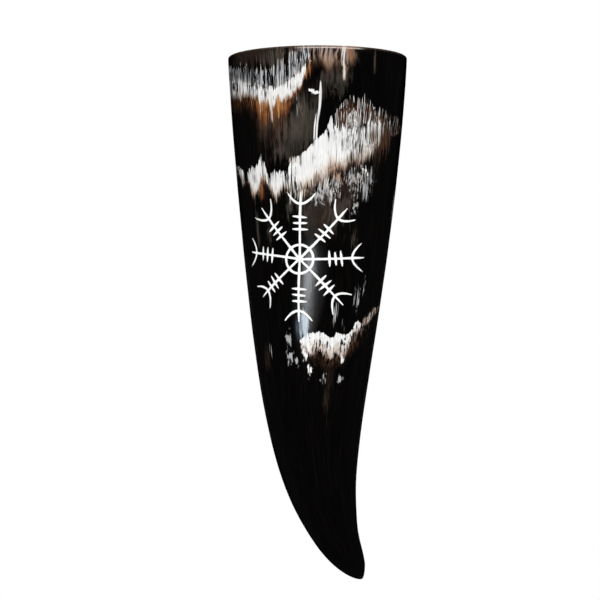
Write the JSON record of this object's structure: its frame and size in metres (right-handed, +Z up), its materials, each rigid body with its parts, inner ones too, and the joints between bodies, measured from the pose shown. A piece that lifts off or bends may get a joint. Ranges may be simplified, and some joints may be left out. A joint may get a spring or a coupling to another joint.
{
  "type": "drinking horn",
  "caption": "Hollow natural drinking horn: a straight tapering cup with a hooked solid tip, a chamfered rim, a sealed inside and a white-filled star engraving on its front.",
  "frame": {"origin": "on the horn's centreline, 72 mm along it from the rim, where the ring of a stand holds the taper", "axes": "+Z up out of the mouth, square to the rim; the engraved front faces -Y; +X to the right seen from the front, the side to which the tip bends"},
  "size_m": [0.076, 0.072, 0.2228],
  "materials": {
    "horn": "polished natural horn, black with cream, grey and orange-brown figure",
    "coat": "smooth amber-brown food-safe sealing coat",
    "fill": "matt white filler rubbed into the engraving"
  },
  "bodies": {
    "root": {"horn_shell": "horn", "sealing_coat": "coat", "engraving_fill": "fill"}
  },
  "joints": []
}
